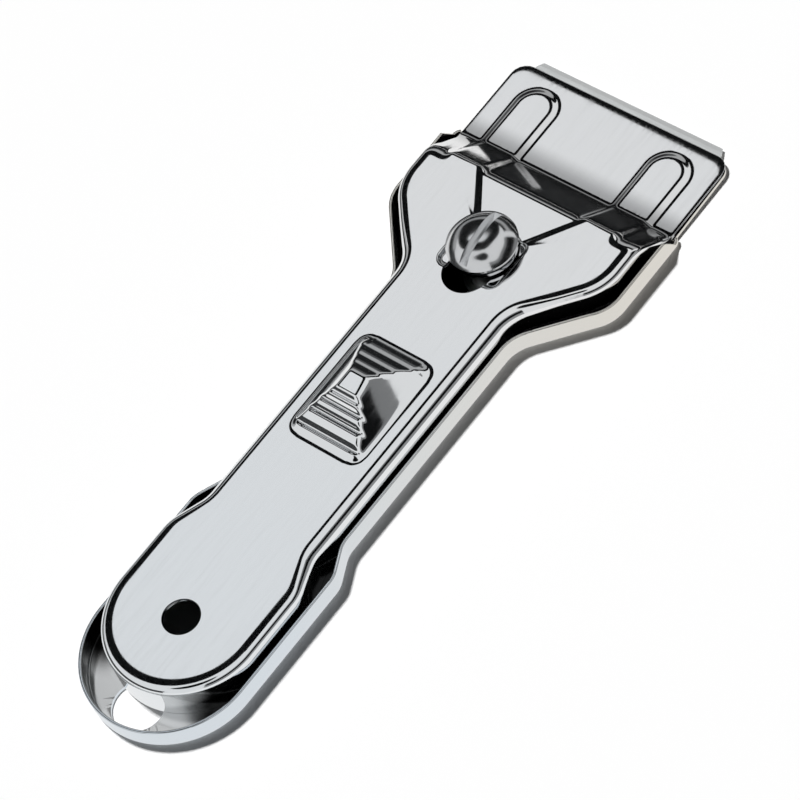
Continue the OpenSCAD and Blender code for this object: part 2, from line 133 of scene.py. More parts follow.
# Where the flat faces mirror it hangs a soft box with a wide black frame. The angles are the
# half widths that the tool sees.
BOX_ANGLE, FRAME_ANGLE, HIGH_CARD_ANGLE = radians(8.5), radians(30), radians(14)
box_way = Vector((0.3047, 0.505, 0.8076))
bm = bmesh.new()
inner = bmesh.ops.create_circle(bm, segments=96, radius=BOX_FAR * tan(BOX_ANGLE))["verts"]
bmesh.ops.extrude_edge_only(bm, edges=bm.edges[:])
outer = [v for v in bm.verts if v not in inner]
grow = tan(FRAME_ANGLE) / tan(BOX_ANGLE)
bmesh.ops.scale(bm, verts=outer, vec=(grow, grow, 1))
hang_high("box_frame", bm, box_way, card_black)

bm = bmesh.new()
bmesh.ops.create_circle(bm, cap_ends=True, segments=96, radius=BOX_FAR * tan(BOX_ANGLE))
hang_high("soft_box", bm, box_way, glowing_cloth("soft_box_scrim_cloth", "#E4E6E8"))

# A black card high over the tail, for what leans back to the right, such as the screw's dome.
bm = bmesh.new()
bmesh.ops.create_circle(bm, cap_ends=True, segments=64, radius=BOX_FAR * tan(HIGH_CARD_ANGLE))
hang_high("rear_card", bm, Vector((-0.3618, -0.097, 0.9272)), card_black)

# A black card on the table in front of the blade, for the step down to the plate.
CARD_HALF = 0.2
bm = bmesh.new()
bmesh.ops.create_grid(bm, x_segments=1, y_segments=1, size=CARD_HALF)
bmesh.ops.translate(bm, verts=bm.verts, vec=(0.3323, 0.02, 0.0003))
hang_card("front_card", bm, card_black)

BAND_FAR = 3.5


def hang_band(name, low, high, azimuth, half_width, material):
    """A band of card between two elevations, round the tool over a part of the horizon."""
    way = Vector((cos(radians(azimuth)), sin(radians(azimuth)), 0))
    low_z, high_z = [BAND_FAR * tan(radians(elevation)) for elevation in (low, high)]
    bm = bmesh.new()
    bmesh.ops.create_cone(
        bm, segments=96, radius1=BAND_FAR, radius2=BAND_FAR, depth=high_z - low_z
    )
    bmesh.ops.translate(bm, verts=bm.verts, vec=(0, 0, (high_z + low_z) / 2))
    bmesh.ops.bisect_plane(
        bm, geom=bm.verts[:] + bm.edges[:] + bm.faces[:],
        plane_co=way * BAND_FAR * cos(radians(half_width)), plane_no=way, clear_inner=True,
    )
    bmesh.ops.translate(bm, verts=bm.verts, vec=TOOL_MIDDLE)
    hang_card(name, bm, material)


# The room that the bends mirror, in degrees: low, high, the middle's azimuth, half width.
# Beyond the blade it is dark below a grey screen, on the near side grey below a dark band.
hang_band("far_wall", 0, 12, 35, 75, glowing_cloth("dark_room_wall", "#1E1F20"))
hang_band("far_shade", 12, 17, 50, 60, glowing_cloth("dim_room_screen", "#505152"))
hang_band("far_screen", 17, 29, 50, 60, glowing_cloth("grey_room_screen", "#A8A9AA"))
hang_band("far_band", 29, 38, 25, 32, card_black)
hang_band("near_fade", 38, 46, -80, 55, glowing_cloth("dim_room_edge", "#7A7B7C"))
hang_band("near_band", 20, 38, -80, 55, card_black)
hang_band("near_wall", 0, 20, -80, 55, glowing_cloth("grey_room_wall", "#8E8F90"))
hang_band("rear_wall", 0, 24, 145, 38, glowing_cloth("dim_room_wall", "#3C3D3E"))

# The space around: white to the camera, a pale grey in the steel and nearly dark for the
# rest, so that the shadow stays deep.
world = bpy.data.worlds.new("studio")
scene.world = world
world.use_nodes = True
tree = world.node_tree
tree.nodes.clear()
path = add_node(tree, "ShaderNodeLightPath")
mirrored = add_node(
    tree, "ShaderNodeMath", {"operation": "MAXIMUM"},
    {0: path.outputs["Is Glossy Ray"], 1: path.outputs["Is Transmission Ray"]},
)
bounce = add_node(tree, "ShaderNodeBackground", {"Color": hex_rgb("#FFFFFF"), "Strength": 0.03})
dimmed = add_node(tree, "ShaderNodeBackground", {"Color": hex_rgb("#E4E5E6"), "Strength": 1.0})
white = add_node(tree, "ShaderNodeBackground", {"Color": hex_rgb("#FFFFFF"), "Strength": 1.0})
lit = add_node(
    tree, "ShaderNodeMixShader",
    links={0: mirrored.outputs[0], 1: bounce.outputs[0], 2: dimmed.outputs[0]},
)
both = add_node(
    tree, "ShaderNodeMixShader",
    links={0: path.outputs["Is Camera Ray"], 1: lit.outputs[0], 2: white.outputs[0]},
)
add_node(tree, "ShaderNodeOutputWorld", links={"Surface": both.outputs[0]})

# The lamp is broad enough to blur its shadow, and the steel doesn't mirror it.
lamp = bpy.data.lights.new("soft_lamp", "SUN")
lamp.energy = 3.45
lamp.angle = radians(7)
lamp_object = bpy.data.objects.new("soft_lamp", lamp)
lamp_object.rotation_euler = Vector((0.05, 0.41, 0.91)).to_track_quat("Z", "Y").to_euler()
lamp_object.visible_glossy = False
scene.collection.objects.link(lamp_object)

# The camera looks down from the tail's right side and is turned a little, as for the photo.
AIM = Vector((0.0664, 0, 0))
AZIMUTH, ELEVATION, ROLL, DISTANCE = radians(-31.11), radians(53.86), radians(-24.56), 0.6649
back = Vector((sin(AZIMUTH) * cos(ELEVATION), -cos(AZIMUTH) * cos(ELEVATION), sin(ELEVATION)))
side = Vector((0, 0, 1)).cross(back).normalized()
up = back.cross(side)
camera = bpy.data.cameras.new("camera")
camera.sensor_width = 36
camera.lens = 184.73
camera.shift_x = 0.00581
camera.shift_y = -0.00375
camera.clip_start = 0.01
camera_object = bpy.data.objects.new("camera", camera)
turn = Matrix((side * cos(ROLL) + up * sin(ROLL), up * cos(ROLL) - side * sin(ROLL), back))
camera_object.matrix_world = Matrix.Translation(AIM + back * DISTANCE) @ turn.transposed().to_4x4()
scene.collection.objects.link(camera_object)
scene.camera = camera_object


# The base: a strip of bright plated sheet steel, stamped to an hourglass outline with a rim
# turned up along it. It has a hanging hole in the round tail and a flat tongue in front,
# which backs the blade.
SHEET, ROUNDED_EDGE, BROKEN_EDGE = 0.6, 0.2, 0.08
BASE_TAIL, BASE_WAIST, BASE_HEAD = 15.2, 12.55, 23.7
RIM_BEND = 0.9
RIM_HIGH, RIM_LOW = 4.2, 1.3
RIM_SLOPE_BACK, RIM_SLOPE_FRONT, RIM_CORNER_R = 110.2, 112.4, 1.6
BASE_HEAD_RUN, BASE_TAIL_RUN, BASE_END = 98.3, 32.3, -5.5
# Outer radius, inner radius and angle of a shoulder's two bends.
BASE_HEAD_BENDS, BASE_TAIL_BENDS = (7, 6.5, 42), (5, 5, 26)
HANGING_HOLE_R, STANDOFF_FOOT_R = 4.5, 3.3
TONGUE_FRONT, TONGUE_HALF, PLATE_CORNER = 130.1, 22.3, 2.8
SCREW_X = 93.5


def trace(bm, place, heading, moves):
    """Draws an outline with a pen that is pushed on or swung about a centre at its side.
    Returns each point with the direction that lies to the left of the pen there."""
    pen = bmesh.ops.create_vert(bm, co=(place[0], place[1], 0))["vert"][0]
    ahead = Matrix.Rotation(radians(heading), 3, "Z") @ Vector((1, 0, 0))
    line = [(pen, Vector((-ahead.y, ahead.x, 0)))]
    for kind, size, radius, parts in moves:
        left = Vector((-ahead.y, ahead.x, 0))
        centre = pen.co + left * (radius if size > 0 else -radius)
        swing = Matrix.Rotation(radians(size) / parts, 3, "Z")
        for _ in range(parts):
            pen = bmesh.ops.extrude_vert_indiv(bm, verts=[pen])["verts"][0]
            if kind == "push":
                bmesh.ops.translate(bm, verts=[pen], vec=ahead * size / parts)
            else:
                bmesh.ops.rotate(bm, cent=centre, matrix=swing, verts=[pen])
                ahead = swing @ ahead
            line.append((pen, Vector((-ahead.y, ahead.x, 0))))
    return line


def slant(wide, narrow, out_r, in_r, angle):
    """Length of the straight between the two bends of a shoulder."""
    bends = (out_r + in_r) * (1 - cos(radians(angle)))
    return (wide - narrow - bends) / sin(radians(angle))


def shoulder_run(wide, narrow, out_r, in_r, angle):
    """Length along the handle that a shoulder takes."""
    straight = slant(wide, narrow, out_r, in_r, angle)
    return (out_r + in_r) * sin(radians(angle)) + straight * cos(radians(angle))


def hourglass(inset, head_run, head, waist, tail, tail_run, end, head_bends, tail_bends, fine):
    """Pen moves along one side, from where the head is full to the middle of the tail's end."""
    head_out, head_in, head_angle = head_bends
    tail_out, tail_in, tail_angle = tail_bends
    waist_front = head_run - shoulder_run(head, waist, head_out, head_in, head_angle)
    waist_back = tail_run + shoulder_run(tail, waist, tail_out, tail_in, tail_angle)
    head_slant = slant(head, waist, head_out, head_in, head_angle)
    tail_slant = slant(tail, waist, tail_out, tail_in, tail_angle)

    def parts(length):
        return max(1, round(abs(length) / fine))

    return [
        ("swing", -head_angle, head_out - inset, parts(head_out * radians(head_angle))),
        ("push", head_slant, 0, parts(head_slant)),
        ("swing", head_angle, head_in + inset, parts(head_in * radians(head_angle))),
        ("push", waist_front - waist_back, 0, 1),
        ("swing", tail_angle, tail_in + inset, 12),
        ("push", tail_slant, 0, 1),
        ("swing", -tail_angle, tail_out - inset, 12),
        ("push", tail_run - end - tail, 0, 1),
        ("swing", -90, tail - inset, 40),
    ]


def extrude_ring(bm, ring, closed, move):
    """Extrudes the edges along a ring and moves each new point by its own step."""
    pairs = list(zip(ring, ring[1:] + ring[:1] if closed else ring[1:]))
    edges = [bm.edges.get(pair) for pair in pairs]
    place = {v: i for i, v in enumerate(ring)}
    made = bmesh.ops.extrude_edge_only(bm, edges=edges)["geom"]
    fresh = [None] * len(ring)
    for vert in [g for g in made if isinstance(g, bmesh.types.BMVert)]:
        old = [e.other_vert(vert) for e in vert.link_edges if e.other_vert(vert) in place][0]
        fresh[place[old]] = vert
    for i, vert in enumerate(fresh):
        vert.co += move(i)
    return fresh


def soften(bm, above, width, segments):
    """Rounds the sharp edges above a height."""
    sharp = [
        e for e in bm.edges
        if e.is_manifold and e.calc_face_angle() > radians(60)
        and min(v.co.z for v in e.verts) * 1000 > above
    ]
    if sharp:
        bmesh.ops.bevel(
            bm, geom=sharp, offset=width / 1000, segments=segments, profile=0.5, affect="EDGES",
            material=-1, clamp_overlap=True,
        )


def put_sheet(
    name, bm, facing, materials, body, stands_for, round_from, share=lambda x, z: 1.0
):
    """Turns a shaped face, in millimetres, into a sheet with its thickness behind that face.
    On the whole that face looks up where facing is 1 and down where it is -1. Edges above
    the height round_from are well rounded, the others only broken."""
    bmesh.ops.recalc_face_normals(bm, faces=bm.faces)
    bm.normal_update()
    if sum(f.normal.z * f.calc_area() for f in bm.faces) * facing < 0:
        bmesh.ops.reverse_faces(bm, faces=bm.faces)
    shares = [share(v.co.x, v.co.z) for v in bm.verts]
    bmesh.ops.scale(bm, verts=bm.verts, vec=(0.001, 0.001, 0.001))
    mesh = bpy.data.meshes.new(name)
    bm.to_mesh(mesh)
    bm.free()
    piece = bpy.data.objects.new(name, mesh)
    scene.collection.objects.link(piece)
    for material in materials:
        mesh.materials.append(material)
    group = piece.vertex_groups.new(name="thickness")
    for i, part in enumerate(shares):
        group.add([i], part, "REPLACE")
    wall = piece.modifiers.new("sheet", "SOLIDIFY")
    wall.thickness = SHEET / 1000
    wall.offset = -1
    wall.use_even_offset = True
    wall.vertex_group = group.name
    wall.material_offset = 1
    bpy.context.view_layer.update()
    finished = piece.evaluated_get(bpy.context.evaluated_depsgraph_get())
    solid = bpy.data.meshes.new_from_object(finished)
    piece.modifiers.clear()
    piece.vertex_groups.clear()
    piece.data = solid
    solid.name = name
    bpy.data.meshes.remove(mesh)
    bm = bmesh.new()
    bm.from_mesh(solid)
    soften(bm, round_from, ROUNDED_EDGE, 3)
    soften(bm, -1, BROKEN_EDGE, 2)
    bm.to_mesh(solid)
    bm.free()
    solid.polygons.foreach_set("use_smooth", [True] * len(solid.polygons))
    solid.set_sharp_from_angle(angle=radians(40))
    even = piece.modifiers.new("even_shading", "WEIGHTED_NORMAL")
    even.keep_sharp = True
    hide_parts(stands_for)
    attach(piece, body)


def plated_steel(name, tail_tint, head_tint, rough, ripple, foot_shade=None):
    """Bright plating over rolled sheet: a mirror with a faint ripple and fine rub marks along it.
    Its tint goes from the tail's to the head's, a painted reflection of the tones it mirrors. A
    painted shade, given by its place, its reach and how dark it is, can darken it across one bend."""
    made, tree = new_material(name)
    place = add_node(tree, "ShaderNodeTexCoord")
    wave = add_node(
        tree, "ShaderNodeTexNoise", {"Scale": 1000 / 9, "Detail": 1.0},
        {"Vector": place.outputs["Object"]},
    )
    bump = add_node(
        tree, "ShaderNodeBump", {"Strength": ripple, "Distance": 0.0001},
        {"Height": wave.outputs["Fac"]},
    )
    along = add_node(
        tree, "ShaderNodeMapping", {"Scale": (0.08, 1, 1)}, {"Vector": place.outputs["Object"]}
    )
    rubs = add_node(
        tree, "ShaderNodeTexNoise", {"Scale": 1000 / 0.6, "Detail": 3.0},
        {"Vector": along.outputs[0]},
    )
    dull = add_node(
        tree, "ShaderNodeMapRange",
        {"From Min": 0.35, "From Max": 0.75, "To Min": rough, "To Max": rough * 2.2},
        {"Value": rubs.outputs["Fac"]},
    )
    parts = add_node(tree, "ShaderNodeSeparateXYZ", links={0: place.outputs["Object"]})
    share = add_node(
        tree, "ShaderNodeMapRange", {"From Min": 0.02, "From Max": 0.1},
        {"Value": parts.outputs["X"]},
    )
    # Painted reflection: the tint shifts from the tail's tone to the head's along the tool.
    tint = add_node(
        tree, "ShaderNodeMix",
        {"data_type": "RGBA", 6: hex_rgb(tail_tint), 7: hex_rgb(head_tint)},
        {0: share.outputs[0]},
    )
    # Painted shade: the tint darkens across one bend, fading out over its reach.
    if foot_shade:
        shade_x, reach, darkest = foot_shade
        away = add_node(
            tree, "ShaderNodeMath", {"operation": "SUBTRACT", 1: shade_x / 1000},
            {0: parts.outputs["X"]},
        )
        beside = add_node(tree, "ShaderNodeMath", {"operation": "ABSOLUTE"}, {0: away.outputs[0]})
        fade = add_node(
            tree, "ShaderNodeMapRange",
            {"From Max": reach / 1000, "To Min": darkest, "interpolation_type": "SMOOTHSTEP"},
            {"Value": beside.outputs[0]},
        )
        tint = add_node(
            tree, "ShaderNodeMix",
            {"data_type": "RGBA", "blend_type": "MULTIPLY", 0: 1.0},
            {6: tint.outputs[2], 7: fade.outputs[0]},
        )
    steel = add_node(
        tree, "ShaderNodeBsdfPrincipled", {"Metallic": 1.0},
        {"Base Color": tint.outputs[2], "Roughness": dull.outputs[0], "Normal": bump.outputs[0]},
    )
    add_node(tree, "ShaderNodeOutputMaterial", links={"Surface": steel.outputs[0]})
    return made


# Bluish at the tail and warm at the head: a painted reflection of the tones the steel mirrors.
base_steel = plated_steel("bright_plated_base_steel", "#DDE4EA", "#E2DED6", 0.05, 0.05)


def shaded_steel(name, light, dark, rough):
    """The same plating where it lies under the cover, with painted shade: darker along the
    channel's sides and all across further forward, light in the open tail and along the middle
    behind."""
    made, tree = new_material(name)
    place = add_node(tree, "ShaderNodeTexCoord")
    parts = add_node(tree, "ShaderNodeSeparateXYZ", links={0: place.outputs["Object"]})
    beside = add_node(
        tree, "ShaderNodeMath", {"operation": "ABSOLUTE"}, {0: parts.outputs["Y"]}
    )
    from_tail, from_side, from_middle = [
        add_node(
            tree, "ShaderNodeMapRange",
            {"From Min": low / 1000, "From Max": high / 1000, "interpolation_type": "SMOOTHSTEP"},
            {"Value": source.outputs[socket]},
        )
        for low, high, source, socket in (
            (0, 5, parts, "X"), (7, 11, beside, 0), (18, 26, parts, "X"),
        )
    ]
    corner = add_node(
        tree, "ShaderNodeMath", {"operation": "MULTIPLY"},
        {0: from_tail.outputs[0], 1: from_side.outputs[0]},
    )
    # Painted shade: how far the floor is darkened where the cover shades it.
    painted_shade = add_node(
        tree, "ShaderNodeMath", {"operation": "MAXIMUM"},
        {0: corner.outputs[0], 1: from_middle.outputs[0]},
    )
    tint = add_node(
        tree, "ShaderNodeMix", {"data_type": "RGBA", 6: hex_rgb(light), 7: hex_rgb(dark)},
        {0: painted_shade.outputs[0]},
    )
    steel = add_node(
        tree, "ShaderNodeBsdfPrincipled", {"Metallic": 0.75, "Roughness": rough},
        {"Base Color": tint.outputs[2]},
    )
    add_node(tree, "ShaderNodeOutputMaterial", links={"Surface": steel.outputs[0]})
    return made


# The base's inside is painted darker where the cover's shade falls: painted shade.
base_inside = shaded_steel("shade_painted_base_steel", "#DADBDB", "#1C1C1C", 0.14)

# The pen goes round the flat of the floor, just inside the rim's bend.
FOOT_IN = RIM_BEND + 0.02
bm = bmesh.new()
half = [
    ("swing", -60, RIM_CORNER_R - FOOT_IN, 6),
    ("push", RIM_SLOPE_FRONT - RIM_SLOPE_BACK, 0, 6),
    ("push", RIM_SLOPE_BACK - BASE_HEAD_RUN, 0, 1),
] + hourglass(
    FOOT_IN, BASE_HEAD_RUN, BASE_HEAD, BASE_WAIST, BASE_TAIL, BASE_TAIL_RUN, BASE_END,
    BASE_HEAD_BENDS, BASE_TAIL_BENDS, fine=0.5,
)
start = (
    RIM_SLOPE_FRONT + (RIM_CORNER_R - FOOT_IN) * cos(radians(30)),
    RIM_CORNER_R - BASE_HEAD - (RIM_CORNER_R - FOOT_IN) * sin(radians(30)),
)
line = trace(bm, start, 180 + 60, half + half[::-1])
rim = [v for v, out in line]
outs = [out for v, out in line]
tongue = trace(
    bm, (start[0], -start[1]), 0,
    [
        ("push", TONGUE_FRONT - PLATE_CORNER - start[0], 0, 1),
        ("swing", -90, PLATE_CORNER, 10),
        ("push", (TONGUE_HALF - PLATE_CORNER) * 2, 0, 1),
        ("swing", -90, PLATE_CORNER, 10),
        ("push", TONGUE_FRONT - PLATE_CORNER - start[0], 0, 1),
    ],
)
bmesh.ops.create_circle(bm, segments=96, radius=HANGING_HOLE_R)
foot_hole = bmesh.ops.create_circle(bm, segments=64, radius=STANDOFF_FOOT_R)["verts"]
bmesh.ops.translate(bm, verts=foot_hole, vec=(SCREW_X, 0, 0))
bmesh.ops.weld_verts(bm, targetmap={tongue[0][0]: rim[-1], tongue[-1][0]: rim[0]})
bmesh.ops.triangle_fill(bm, use_beauty=True, edges=bm.edges[:], normal=(0, 0, 1))


def rim_top(x):
    """Height of the rim, which slopes down where it ends beside the blade."""
    share = min(1, max(0, (x - RIM_SLOPE_BACK) / (RIM_SLOPE_FRONT - RIM_SLOPE_BACK)))
    return RIM_HIGH + (RIM_LOW - RIM_HIGH) * share


# The rim bends up from the floor's edge and then stands straight.
tops = [rim_top(v.co.x) for v in rim]
ring = extrude_ring(bm, rim, False, lambda i: outs[i] * (FOOT_IN - RIM_BEND))
BENDS = 7
for k in range(1, BENDS + 1):
    a, b = pi / 2 * (k - 1) / BENDS, pi / 2 * k / BENDS
    out_step, up_step = RIM_BEND * (sin(b) - sin(a)), RIM_BEND * (cos(a) - cos(b))
    ring = extrude_ring(bm, ring, False, lambda i: outs[i] * out_step + Vector((0, 0, up_step)))
ring = extrude_ring(bm, ring, False, lambda i: Vector((0, 0, tops[i] - RIM_BEND)))
put_sheet(
    "base_stamping", bm, -1, [base_steel, base_inside], "base", "base_shell", 1.0
)


# The standoff: a turned steel bush, riveted through the base's floor and threaded for the
# clamp screw. It stands in the cover's slot.
def turned_steel(name, tint, rough):
    """Plain turned steel: fine rings round its axis that spread the light a little."""
    made, tree = new_material(name)
    place = add_node(tree, "ShaderNodeTexCoord")
    centred = add_node(
        tree, "ShaderNodeMapping", {"Location": (-SCREW_X / 1000, 0, 0)},
        {"Vector": place.outputs["Object"]},
    )
    rings = add_node(
        tree, "ShaderNodeTexWave",
        {
            "wave_type": "RINGS", "rings_direction": "Z", "Scale": 1000 / 0.35 / 6.28,
            "Distortion": 0.6,
        },
        {"Vector": centred.outputs[0]},
    )
    bump = add_node(
        tree, "ShaderNodeBump", {"Strength": 0.15, "Distance": 0.00002},
        {"Height": rings.outputs["Fac"]},
    )
    steel = add_node(
        tree, "ShaderNodeBsdfPrincipled",
        {"Base Color": hex_rgb(tint), "Metallic": 1.0, "Roughness": rough},
        {"Normal": bump.outputs[0]},
    )
    add_node(tree, "ShaderNodeOutputMaterial", links={"Surface": steel.outputs[0]})
    return made


def finish_node(name, material):
    """Gives a CAD piece that stays in view its finish."""
    node = nodes[name]
    node.data.materials.clear()
    node.data.materials.append(material)


finish_node("standoff", turned_steel("turned_bush_steel", "#B9BABA", 0.3))


# The blade: ground carbon steel strip with clipped corners and one bevelled edge. It lies
# between the base's tongue and the cover's front plate.
def ground_steel(name, tint, rough):
    """Ground strip: grey steel with straight grinding marks across the blade."""
    made, tree = new_material(name)
    place = add_node(tree, "ShaderNodeTexCoord")
    across = add_node(
        tree, "ShaderNodeMapping", {"Scale": (1, 0.05, 1)}, {"Vector": place.outputs["Object"]}
    )
    marks = add_node(
        tree, "ShaderNodeTexNoise", {"Scale": 1000 / 0.25, "Detail": 2.0},
        {"Vector": across.outputs[0]},
    )
    dull = add_node(
        tree, "ShaderNodeMapRange",
        {"From Min": 0.3, "From Max": 0.7, "To Min": rough, "To Max": rough * 1.6},
        {"Value": marks.outputs["Fac"]},
    )
    steel = add_node(
        tree, "ShaderNodeBsdfPrincipled",
        {"Base Color": hex_rgb(tint), "Metallic": 0.5},
        {"Roughness": dull.outputs[0]},
    )
    add_node(tree, "ShaderNodeOutputMaterial", links={"Surface": steel.outputs[0]})
    return made


finish_node("razor_blade", ground_steel("ground_blade_steel", "#DCDEDE", 0.16))


# The cover: the upper stamping, bright plated like the base. Its skirt slides inside the
# rim. Pressed into its one sheet are a ribbed thumb rest, a recess with a fan-shaped valley
# for the screw, and a step down to the front plate with two raised pads.
COVER_TOP, SKIRT_FOOT = 7.6, 0.65
COVER_TAIL, COVER_WAIST, COVER_HEAD = 14.05, 11.57, 22.3
COVER_HEAD_RUN, COVER_TAIL_RUN, COVER_END = 101.1, 25.6, 0.75
COVER_HEAD_BENDS, COVER_TAIL_BENDS = (10, 7, 42), (8, 6, 20)
EDGE_WIDE, EDGE_MARGIN, BROAD_TURN, WAIST_BROAD_R = 2.3, 0.3, radians(15), 2.6
BROAD_HEAD_X, BROAD_TAIL_X, BROAD_RUN = 86, 32, 8
PLATE_EDGE_DROP, FRONT_EDGE_DROP = 0.07, 0.08
STEP_X, STEP_FOOT_X, STEP_ANGLE = 104.02, 113.8, radians(39)
STEP_TOP_R, STEP_FOOT_R = 4.6, 1.95
PLATE_TOP = 1.55
PAD_LINE, PAD_TOP_HALF, PAD_WALL, PAD_RISE, PAD_END_X = 13.95, 2.75, 1.9, 0.5, 122.9
THUMB_BACK, THUMB_FRONT, THUMB_HALF, THUMB_RISE = 50.0, 70.9, 7.4, 4.6
THUMB_TOP_BACK, THUMB_TOP_FRONT = 58.1, 62.1
RECESS_X, RECESS_HALF_LENGTH, RECESS_HALF = 92.8, 4.9, 6.1
RECESS_CORNER_R, RECESS_WALL, RECESS_DEPTH = 1.4, 0.8, 0.5
# The valley starts in the screw's shade: half widths there of its floor and of its crease,
# and how far each spreads per millimetre. Its steep wall takes most of its depth.
VALLEY_X, VALLEY_HALF, VALLEY_SPREAD, CREASE_HALF, CREASE_SPREAD = 97.7, 4.9, 0.711, 6.2, 1.42
VALLEY_BACK, VALLEY_RUN_IN, VALLEY_DEPTH, VALLEY_RISE = 94.0, 0.8, 0.31, 0.01
VALLEY_WALL, VALLEY_WALL_IN, VALLEY_WALL_SHARE = 1.7, 0.8, 0.82


def ease(t):
    """A soft step from 0 to 1."""
    t = min(1, max(0, t))
    return t * t * (3 - 2 * t)


def step_height(x, lift):
    """Side view of the step, raised square to the sheet by lift."""
    top_r, foot_r = STEP_TOP_R + lift, STEP_FOOT_R - lift
    top_end = STEP_X + top_r * sin(STEP_ANGLE)
    foot_start = STEP_FOOT_X - foot_r * sin(STEP_ANGLE)
    if x <= STEP_X:
        z = COVER_TOP + lift
    elif x < top_end:
        z = COVER_TOP + lift - top_r + sqrt(top_r**2 - (x - STEP_X) ** 2)
    elif x < foot_start:
        z = COVER_TOP + lift - top_r * (1 - cos(STEP_ANGLE)) - (x - top_end) * tan(STEP_ANGLE)
    elif x < STEP_FOOT_X:
        z = PLATE_TOP + lift + foot_r - sqrt(foot_r**2 - (STEP_FOOT_X - x) ** 2)
    else:
        z = PLATE_TOP + lift
    return min(z, COVER_TOP)


def pad_share(x, y):
    """1 on a pad's flat, falling to 0 at the foot of its sloped wall."""
    beside = abs(abs(y) - PAD_LINE)
    away = beside if x < PAD_END_X else hypot(x - PAD_END_X, beside)
    return ease((PAD_TOP_HALF + PAD_WALL - away) / PAD_WALL)


def recess_depth(x, y):
    """Depth of the recess round the screw and of the valley that fans out in front of it."""
    side_y = abs(y)
    along = abs(x - RECESS_X) - (RECESS_HALF_LENGTH - RECESS_CORNER_R)
    beside = side_y - (RECESS_HALF - RECESS_CORNER_R)
    outside = hypot(max(along, 0), max(beside, 0)) + min(max(along, beside), 0) - RECESS_CORNER_R
    box = ease(0.5 - outside / RECESS_WALL)
    wall_y = VALLEY_HALF + (x - VALLEY_X) * VALLEY_SPREAD
    crease_y = CREASE_HALF + (x - VALLEY_X) * CREASE_SPREAD
    gentle = max(0.6, crease_y - wall_y - (VALLEY_WALL - VALLEY_WALL_IN))
    fan = 1 - VALLEY_WALL_SHARE * ease((side_y - wall_y + VALLEY_WALL_IN) / VALLEY_WALL)
    fan *= min(1, max(0, (crease_y - side_y) / gentle))
    fan *= VALLEY_DEPTH - VALLEY_RISE * (x - VALLEY_X)
    return max(RECESS_DEPTH * box, fan * ease((x - VALLEY_BACK) / VALLEY_RUN_IN))


def head_height(x, y):
    """Height of the cover's sheet in front of the waist."""
    share = pad_share(x, y)
    z = step_height(x, 0)
    if share > 0:
        z += (step_height(x, PAD_RISE) - z) * share
    return min(z, COVER_TOP - recess_depth(x, y))


# The cover is painted darker across the step's foot: painted shade in the bend's hollow.
cover_steel = plated_steel(
    "bright_plated_cover_steel", "#EDF0F2", "#F0F0F0", 0.05, 0.05, (STEP_FOOT_X, 4.5, 0.5)
)

# The pen goes round the flat of the sheet, inside the edge's bend, in fine steps.
IN = EDGE_WIDE + EDGE_MARGIN
FINE = 0.25
front_run = TONGUE_FRONT - PLATE_CORNER - COVER_HEAD_RUN
half = [
    ("swing", -90, PLATE_CORNER - IN, 5),
    ("push", front_run, 0, round(front_run / FINE)),
] + hourglass(
    IN, COVER_HEAD_RUN, COVER_HEAD, COVER_WAIST, COVER_TAIL, COVER_TAIL_RUN, COVER_END,
    COVER_HEAD_BENDS, COVER_TAIL_BENDS, FINE,
)
rows = sum(parts for kind, size, radius, parts in half[:5])
bm = bmesh.new()
line = trace(bm, (TONGUE_FRONT - IN, PLATE_CORNER - COVER_HEAD), -90, half + half[::-1])
loop = [v for v, out in line]
outs = [out for v, out in line]

# A fine grid fills the head between the two sides of that line.
COLUMNS = 172
grid = bmesh.ops.create_grid(bm, x_segments=rows, y_segments=COLUMNS, size=0.5)["verts"]
welds, front = {}, []
for v in grid:
    i = rows - round((v.co.x + 0.5) * rows)
    j = round((v.co.y + 0.5) * COLUMNS)
    if j == 0:
        welds[v] = loop[i]
    elif j == COLUMNS:
        welds[v] = loop[-1 - i]
    elif i == 0:
        front.append((-j, v))
    v.co = (loop[i].co.x, -loop[i].co.y * (j * 2 / COLUMNS - 1), 0)
bmesh.ops.weld_verts(bm, targetmap=welds)
ring = loop + [v for j, v in sorted(front, key=lambda pair: pair[0])]
outs += [Vector((1, 0, 0))] * len(front)

# Another covers the thumb rest, and triangles join them round the peep hole.
THUMB_MARGIN, THUMB_ROWS, THUMB_COLUMNS = 1.2, 144, 106
PEEP_R, PEEP_PLACE, PEEP_RING = 3.15, Vector((14, 0, 0)), 0.2
thumb_grid = bmesh.ops.create_grid(
    bm, x_segments=THUMB_ROWS, y_segments=THUMB_COLUMNS, size=0.5
)["verts"]
thumb_size = (THUMB_FRONT - THUMB_BACK + THUMB_MARGIN * 2, (THUMB_HALF + THUMB_MARGIN) * 2, 1)
bmesh.ops.scale(bm, verts=thumb_grid, vec=thumb_size)
bmesh.ops.translate(bm, verts=thumb_grid, vec=((THUMB_FRONT + THUMB_BACK) / 2, 0, 0))
peep = bmesh.ops.create_circle(bm, segments=72, radius=PEEP_R)["verts"]
bmesh.ops.translate(bm, verts=peep, vec=PEEP_PLACE)
peep_edges = {bm.edges.get(pair) for pair in zip(peep, peep[1:] + peep[:1])}
extrude_ring(bm, peep, True, lambda i: (peep[i].co - PEEP_PLACE).normalized() * PEEP_RING)
row_x = loop[rows].co.x + 0.01
bounds = [
    e for e in bm.edges
    if len(e.link_faces) < 2 and e not in peep_edges
    and e.verts[0].co.x < row_x and e.verts[1].co.x < row_x
]
bmesh.ops.triangle_fill(bm, use_beauty=True, edges=bounds, normal=(0, 0, 1))


def soft_min(a, b, r):
    """The lower of two heights, with the ridge between them rounded."""
    share = max(r - abs(a - b), 0) / r
    return min(a, b) - share * share * r / 4


